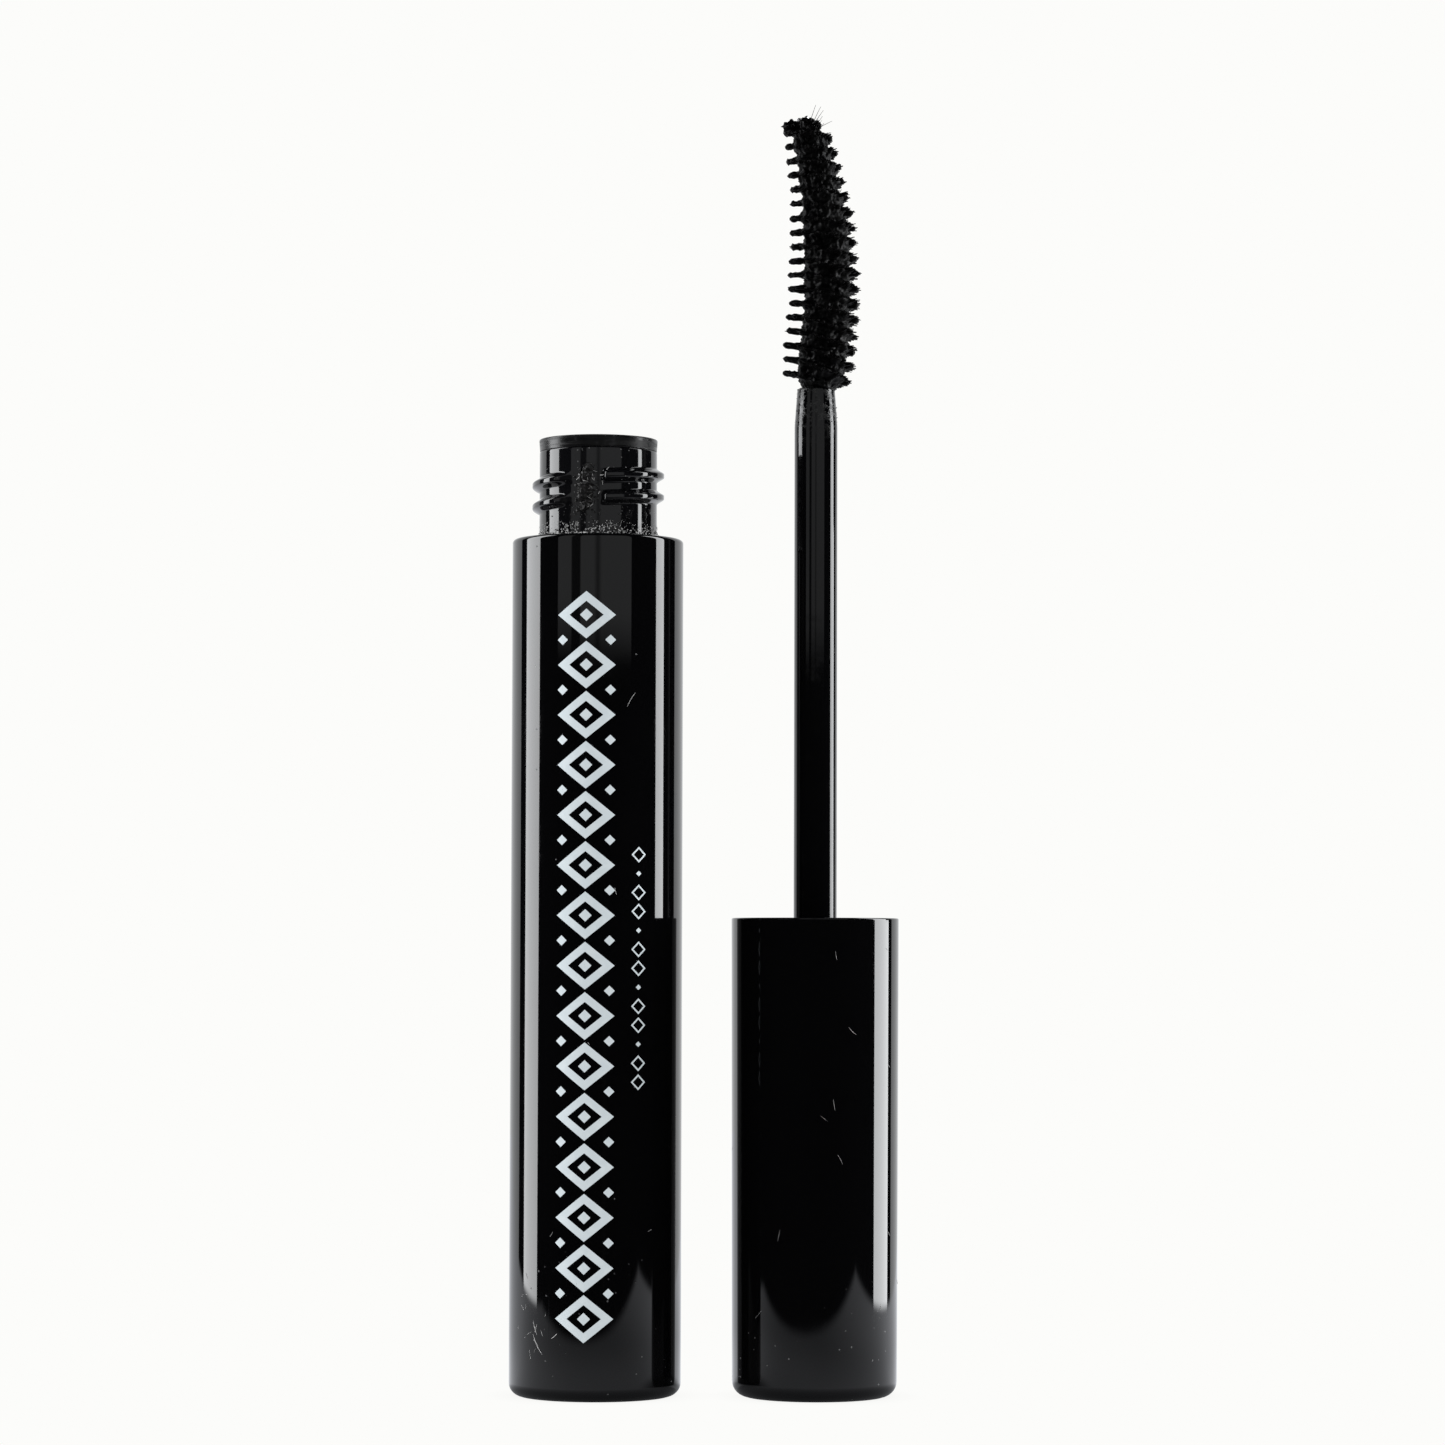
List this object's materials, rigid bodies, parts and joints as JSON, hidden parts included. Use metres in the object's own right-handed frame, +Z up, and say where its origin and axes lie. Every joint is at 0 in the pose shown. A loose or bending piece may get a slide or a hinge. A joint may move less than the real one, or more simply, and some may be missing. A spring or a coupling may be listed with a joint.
{
  "type": "mascara tube with wand applicator",
  "caption": "Slim screw-neck mascara tube with a wiper, and its cap, wand and curved twisted-wire brush standing upside down beside it.",
  "frame": {"origin": "centre of the tube's base, on the surface that it stands on", "axes": "+Z up along the tube's axis to its open neck, +X towards the applicator that stands beside it, -Y towards the printed front"},
  "size_m": [0.0377, 0.0166, 0.1251],
  "materials": {
    "tube_gloss_black": "polished moulded black plastic with faint dust and fine scratches",
    "bottle_black": "glossy moulded black plastic",
    "wiper_satin": "soft satin black plastic",
    "mascara_paste": "wet black paste",
    "cap_gloss_black": "polished moulded black plastic",
    "inner_cap_plastic": "dark satin moulded plastic",
    "washer_foam": "pale closed-cell liner",
    "rod_black": "glossy moulded black plastic",
    "wire_steel": "drawn wire",
    "bristle_nylon": "black filaments coated with paste",
    "print_ink": "pale blue-grey printed ink"
  },
  "bodies": {
    "tube": {"outer_tube": "tube_gloss_black", "inner_bottle": "bottle_black", "wiper": "wiper_satin", "mascara_fill": "mascara_paste"},
    "seal": {"seal_washer": "washer_foam"},
    "applicator": {"overcap": "cap_gloss_black", "inner_cap": "inner_cap_plastic", "rod": "rod_black", "core_wire": "wire_steel", "bristle_row_01": "bristle_nylon", "bristle_row_02": "bristle_nylon", "bristle_row_03": "bristle_nylon", "bristle_row_04": "bristle_nylon", "bristle_row_05": "bristle_nylon", "bristle_row_06": "bristle_nylon", "bristle_row_07": "bristle_nylon", "bristle_row_08": "bristle_nylon", "bristle_row_09": "bristle_nylon", "bristle_row_10": "bristle_nylon", "bristle_row_11": "bristle_nylon", "bristle_row_12": "bristle_nylon", "bristle_row_13": "bristle_nylon", "bristle_row_14": "bristle_nylon", "bristle_row_15": "bristle_nylon", "bristle_row_16": "bristle_nylon", "bristle_row_17": "bristle_nylon", "bristle_row_18": "bristle_nylon"}
  },
  "joints": [
    {"name": "applicator_lift", "type": "slide", "parent": "tube", "child": "seal", "axis": [0, 0, 1], "range_m": [0, 0.09]},
    {"name": "cap_turn", "type": "hinge", "parent": "seal", "child": "applicator", "pos_m": [0.0213, 0, 0], "axis": [0, 0, 1], "range_deg": [0, 540]}
  ]
}
